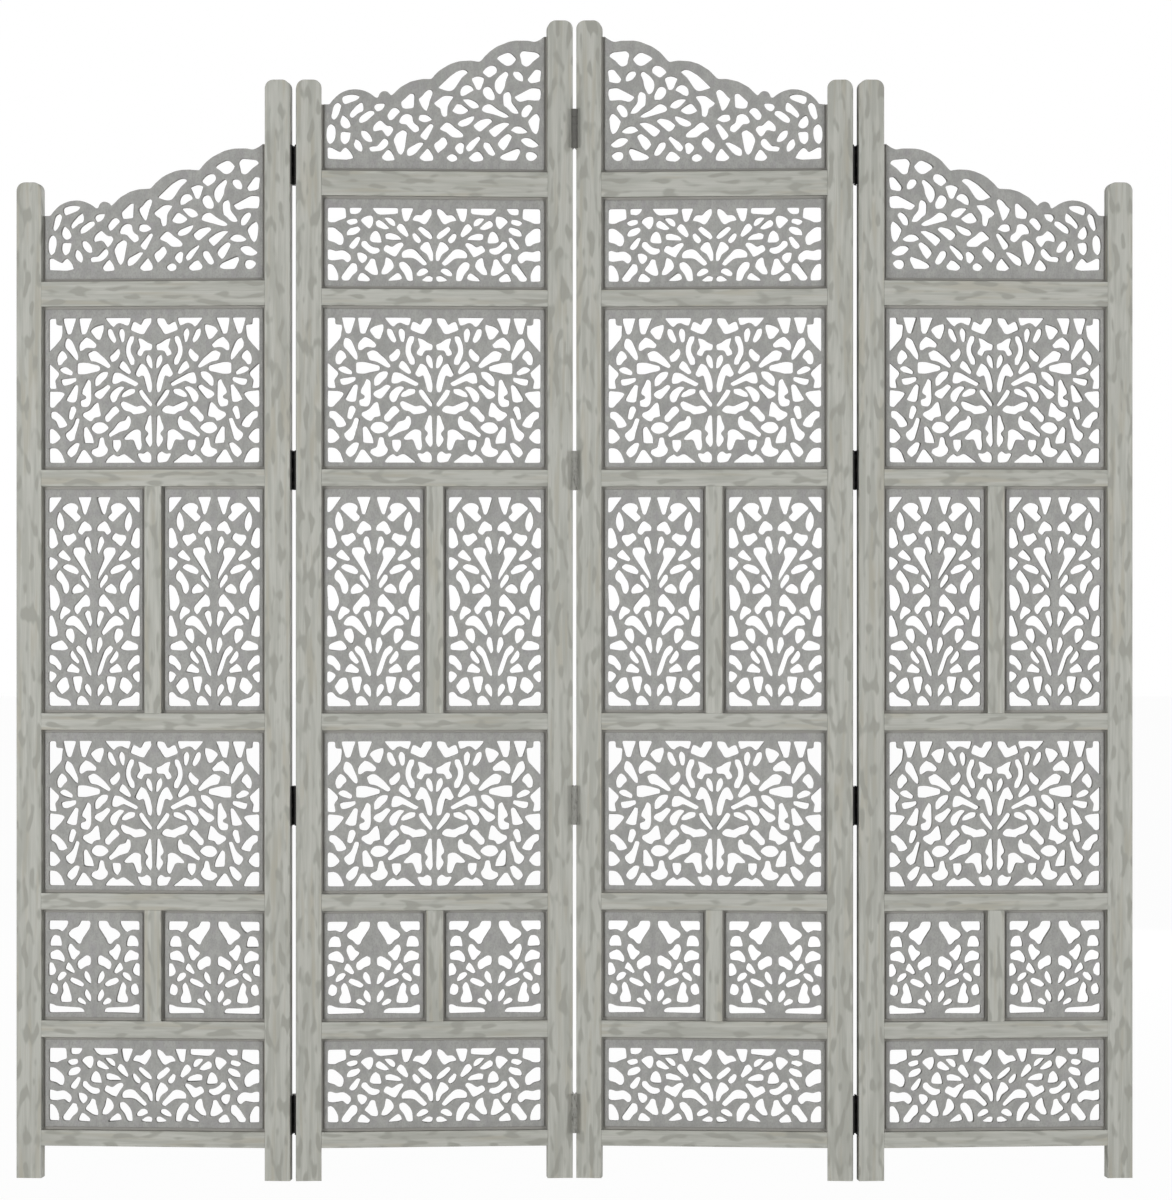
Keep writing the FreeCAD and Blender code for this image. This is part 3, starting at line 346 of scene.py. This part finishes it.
def marks(tree, place, size, detail):
    """Cloudy marks of a size in millimetres, given along the three axes of a place."""
    scale = [1 / (length * MM) for length in size]
    mapped = add(tree, "ShaderNodeMapping", {}, {"Vector": place, "Scale": scale})
    cloud = add(tree, "ShaderNodeTexNoise", {},
                {"Vector": mapped[0], "Scale": 1.0, "Detail": detail})
    return cloud["Fac"]


def overlaid(tree, tone, cover, span, share, code):
    """Colour laid over a tone where a cover value rises through a span, at most by a share."""
    part = add(tree, "ShaderNodeMapRange", {"interpolation_type": "SMOOTHSTEP"},
               {"Value": cover, "From Min": span[0], "From Max": span[1], "To Max": share})
    return add(tree, "ShaderNodeMix", {"data_type": "RGBA"},
               {0: part[0], 6: tone, 7: colour(code)})[2]


def surface(tree, shader, tone, relief, roughness, depth):
    """Gives a shader its colour, and a roughness and a fine relief from the same marks."""
    tree.links.new(tone, shader.inputs["Base Color"])
    rough = add(tree, "ShaderNodeMapRange", {},
                {"Value": relief, "To Min": roughness[0], "To Max": roughness[1]})
    tree.links.new(rough[0], shader.inputs["Roughness"])
    bump = add(tree, "ShaderNodeBump", {},
               {"Strength": BUMP_STRENGTH, "Distance": depth, "Height": relief})
    tree.links.new(bump[0], shader.inputs["Normal"])


def washed_frame_wood():
    """Mango wood, planed, then rubbed with a thin grey wash: soft streaks, tan wood that shows
    through, dull dashes where the wash settled in the pores, and paler arrises where it was rubbed
    off."""
    material, tree, shader = blank("mango_wood_grey_washed_frame")
    grain = add(tree, "ShaderNodeAttribute", {"attribute_name": "grain"}, {})["Vector"]
    rubbed = add(tree, "ShaderNodeAttribute", {"attribute_name": "rubbed"}, {})["Fac"]
    fibres = marks(tree, grain, (1.4, 1.4, 45.0), 2.0)
    tone = colour("#b8b9b2")
    for size, detail, span, share, code in (
            ((6.0, 9.0, 120.0), 3.0, (0.38, 0.62), 0.85, "#989991"),
            ((9.0, 11.0, 160.0), 2.0, (0.52, 0.66), 0.55, "#9f967f"),
            ((14.0, 14.0, 70.0), 1.0, (0.52, 0.68), 0.50, "#bfbfb8"),
            ((9.0, 14.0, 30.0), 0.5, (0.53, 0.66), 0.85, "#7d7d74")):
        tone = overlaid(tree, tone, marks(tree, grain, size, detail), span, share, code)
    tone = overlaid(tree, tone, fibres, (0.3, 0.7), 0.30, "#8e8e86")
    tone = overlaid(tree, tone, rubbed, (0.3, 1.0), 0.35, "#c0c0b9")
    surface(tree, shader, tone, fibres, (0.58, 0.78), 0.2 * MM)
    shader.inputs["Specular IOR Level"].default_value = WOOD_SHEEN
    return material


def washed_fret_wood():
    """Mango board, sawn out and washed a cooler grey: cloudy face with hardly any grain, and
    painted shade that darkens the walls, the eased rims and the sunk channel, paler on the channel
    floor."""
    material, tree, shader = blank("mango_wood_grey_washed_fretwork")
    grain = add(tree, "ShaderNodeAttribute", {"attribute_name": "grain"}, {})["Vector"]
    fibres = marks(tree, grain, (1.4, 1.4, 14.0), 2.0)
    tone = colour("#a8a8a5")
    for size, detail, span, share, code in (
            ((9.0, 9.0, 16.0), 4.0, (0.35, 0.65), 0.75, "#979795"),
            ((16.0, 16.0, 22.0), 2.0, (0.52, 0.72), 0.30, "#9c979d"),
            ((2.2, 2.2, 3.0), 3.0, (0.42, 0.68), 0.45, "#8a8a86")):
        tone = overlaid(tree, tone, marks(tree, grain, size, detail), span, share, code)
    tone = overlaid(tree, tone, fibres, (0.3, 0.7), 0.12, "#8e8e8b")
    # Painted shade: the deeper a point lies below the board's face, the darker it is painted, on
    # hole walls, eased rims and the sunk channel
    axes = add(tree, "ShaderNodeSeparateXYZ", {}, {"Vector": grain})
    depth = add(tree, "ShaderNodeMath", {"operation": "ABSOLUTE"}, {0: axes["Y"]})[0]
    sunk = add(tree, "ShaderNodeMath", {"operation": "SUBTRACT"}, {0: BOARD_FACE, 1: depth})[0]
    tone = overlaid(tree, tone, sunk, (0.02 * MM, 0.5 * MM), 1.0, "#66645f")
    # Paler painted shade on the floor of the sunk channel, in place of the dark shade of the walls
    channel = add(tree, "ShaderNodeAttribute", {"attribute_name": "channel"}, {})["Fac"]
    tone = overlaid(tree, tone, channel, (0.2, 0.9), 1.0, "#a09e99")
    surface(tree, shader, tone, fibres, (0.62, 0.82), 0.2 * MM)
    shader.inputs["Specular IOR Level"].default_value = WOOD_SHEEN
    return material


def painted_steel(name, paint, worn, high, roughness):
    """Sheet steel under a thin brushed coat: a little uneven, worn in spots, and with a tone of its
    own on the hinges at the top."""
    material, tree, shader = blank(name)
    place = add(tree, "ShaderNodeTexCoord", {}, {})["Object"]
    patches = marks(tree, place, (3.0, 3.0, 9.0), 4.0)
    tone = overlaid(tree, colour(paint), patches, (0.45, 0.75), 1.0, worn)
    axes = add(tree, "ShaderNodeSeparateXYZ", {}, {"Vector": place})
    tone = overlaid(tree, tone, axes["Z"], TOP_HINGES, 0.9, high)
    surface(tree, shader, tone, patches, roughness, 0.1 * MM)
    return material


def screw_steel():
    """Bright-drawn steel, turned and a little tarnished: small dull spots on a soft shine."""
    material, tree, shader = blank("steel_screw_tarnished")
    place = add(tree, "ShaderNodeTexCoord", {}, {})["Object"]
    spots = marks(tree, place, (1.5, 1.5, 1.5), 3.0)
    tone = overlaid(tree, colour("#8f8d88"), spots, (0.3, 0.7), 1.0, "#6a6761")
    surface(tree, shader, tone, spots, (0.3, 0.5), 0.05 * MM)
    shader.inputs["Metallic"].default_value = 1.0
    return material


FRAME_WOOD = washed_frame_wood()
FRET_WOOD = washed_fret_wood()
BLACK_STEEL = painted_steel("steel_black_lacquered", "#191918", "#2b2a28", "#1c1b1a", (0.37, 0.57))
GREY_STEEL = painted_steel("steel_grey_washed", "#8e8e88", "#5f5e59", "#4d4c48", (0.52, 0.72))
SCREW_STEEL = screw_steel()


def finished(mesh, name, panel, node, material):
    """Makes a piece of a mesh: it rides on its panel and stands for its node."""
    for face in mesh.faces:
        face.smooth = True
    data = bpy.data.meshes.new(name)
    mesh.to_mesh(data)
    mesh.free()
    data.set_sharp_from_angle(angle=SHARP_FOLD)
    data.materials.append(material)
    piece = bpy.data.objects.new(name, data)
    bpy.context.scene.collection.objects.link(piece)
    piece.modifiers.new("flat_faces_stay_flat", "WEIGHTED_NORMAL").keep_sharp = True
    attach(piece, "panel_%d" % panel)
    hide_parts(node)


# Wood: every frame bar and every board takes the place of its node
plank_count = 0
for node in sorted(frame["nodes"]):
    if not node.startswith("panel_") or node.endswith("hinge_screws"):
        continue
    panel = int(node.split("_")[1])
    if node.endswith(("board", "boards")):
        wood = eased_board(node, panel)
        plank_count += lay_grain(wood, panel, True, plank_count)
        finished(wood, "carved_" + node, panel, node, FRET_WOOD)
    else:
        upright = node.endswith(("stile", "muntins"))
        grain = Vector((0, 0, 1)) if upright else panel_axes(panel)[0]
        wood = eased_bar(node, panel, grain, node.endswith("stile"))
        plank_count += lay_grain(wood, panel, upright, plank_count)
        finished(wood, "eased_" + node, panel, node, FRAME_WOOD)

# Metal keeps its own solids
for node, piece in frame["nodes"].items():
    if node.endswith("hinge_screws"):
        metal = SCREW_STEEL
    elif node.startswith("hinges_2_3"):
        metal = GREY_STEEL
    elif node.startswith("hinges"):
        metal = BLACK_STEEL
    else:
        continue
    piece.data.materials.clear()
    piece.data.materials.append(metal)

# Studio: white surroundings, a pale floor that keeps the shadow, and large soft lights
scene = bpy.context.scene
scene.view_settings.view_transform = "Standard"

WORLD_LEVEL = 0.32
FLOOR_WHITE = 0.965
FLOOR_SPAN = 60.0

# Soft boxes: name, place, size and power in watts
SOFT_BOXES = (("key_left", (-3.0, -3.8, 0.75), 1.4, 88.0),
              ("fill_right", (3.4, -3.6, 0.75), 1.4, 73.0),
              ("back", (0.8, 4.6, 1.2), 1.8, 70.0))


def background_rays(tree):
    """1 for rays that show the background: straight, reflected or through glass."""
    path = add(tree, "ShaderNodeLightPath", {}, {})
    seen = path["Is Camera Ray"]
    for other in ("Is Glossy Ray", "Is Transmission Ray"):
        seen = add(tree, "ShaderNodeMath", {"operation": "MAXIMUM"}, {0: seen, 1: path[other]})[0]
    return seen


world = bpy.data.worlds.new("white_studio")
scene.world = world
world.use_nodes = True
sky = world.node_tree
sky.nodes.clear()
dim = add(sky, "ShaderNodeBackground", {}, {"Color": colour("#ffffff"), "Strength": WORLD_LEVEL})
white = add(sky, "ShaderNodeBackground", {}, {"Color": colour("#ffffff"), "Strength": 1.0})
seen_sky = add(sky, "ShaderNodeMixShader", {}, {0: background_rays(sky), 1: dim[0], 2: white[0]})
add(sky, "ShaderNodeOutputWorld", {}, {"Surface": seen_sky[0]})

floor_mesh = bmesh.new()
bmesh.ops.create_grid(floor_mesh, x_segments=1, y_segments=1, size=FLOOR_SPAN / 2)
floor_data = bpy.data.meshes.new("studio_floor")
floor_mesh.to_mesh(floor_data)
floor_mesh.free()
floor = bpy.data.objects.new("studio_floor", floor_data)
scene.collection.objects.link(floor)

# Matt backdrop paper: white with a faint speckle
paper, paper_tree, paper_shader = blank("studio_paper_white")
paper_place = add(paper_tree, "ShaderNodeTexCoord", {}, {})["Object"]
speckle = marks(paper_tree, paper_place, (25.0, 25.0, 25.0), 2.0)
paper_tone = overlaid(paper_tree, colour("#f8f8f7"), speckle, (0.3, 0.7), 1.0, "#f3f3f2")
paper_tree.links.new(paper_tone, paper_shader.inputs["Base Color"])
paper_shader.inputs["Roughness"].default_value = 0.9
glow = add(paper_tree, "ShaderNodeEmission", {}, {"Color": colour("#ffffff"), "Strength": 1.0})
glow_share = add(paper_tree, "ShaderNodeMath", {"operation": "MULTIPLY"},
                 {0: background_rays(paper_tree), 1: FLOOR_WHITE})
sheet = add(paper_tree, "ShaderNodeMixShader", {},
            {0: glow_share[0], 1: paper_shader.outputs[0], 2: glow[0]})
paper_tree.links.new(sheet[0], paper_tree.nodes["Material Output"].inputs["Surface"])
floor_data.materials.append(paper)

middle = (Vector(cad_low) + Vector(cad_high)) / 2


def soft_light(name, place, size, power):
    """Square soft box that looks at the middle of the screen."""
    lamp = bpy.data.lights.new(name, "AREA")
    lamp.shape = "SQUARE"
    lamp.size = size
    lamp.energy = power
    light = bpy.data.objects.new(name, lamp)
    light.location = place
    light.visible_camera = False
    light.rotation_euler = (middle - Vector(place)).to_track_quat("-Z", "Y").to_euler()
    scene.collection.objects.link(light)


for soft_box in SOFT_BOXES:
    soft_light(*soft_box)

# Camera: square on, at half height, far enough for the slight perspective of the picture
PICTURE_HIGH = 1200
MM_PER_PIXEL = 1.428
SENSOR = 36.0
CAMERA_AWAY = 6.0
CAMERA_RIGHT = 0.0164
CAMERA_HIGH = 0.826
camera_data = bpy.data.cameras.new("camera")
camera_data.sensor_width = SENSOR
camera_data.lens = SENSOR * CAMERA_AWAY / (MM_PER_PIXEL * MM * PICTURE_HIGH)
camera = bpy.data.objects.new("camera", camera_data)
camera.location = (CAMERA_RIGHT, -CAMERA_AWAY, CAMERA_HIGH)
camera.rotation_euler = (math.pi / 2, 0, 0)
scene.collection.objects.link(camera)
scene.camera = camera

bpy.context.view_layer.update()
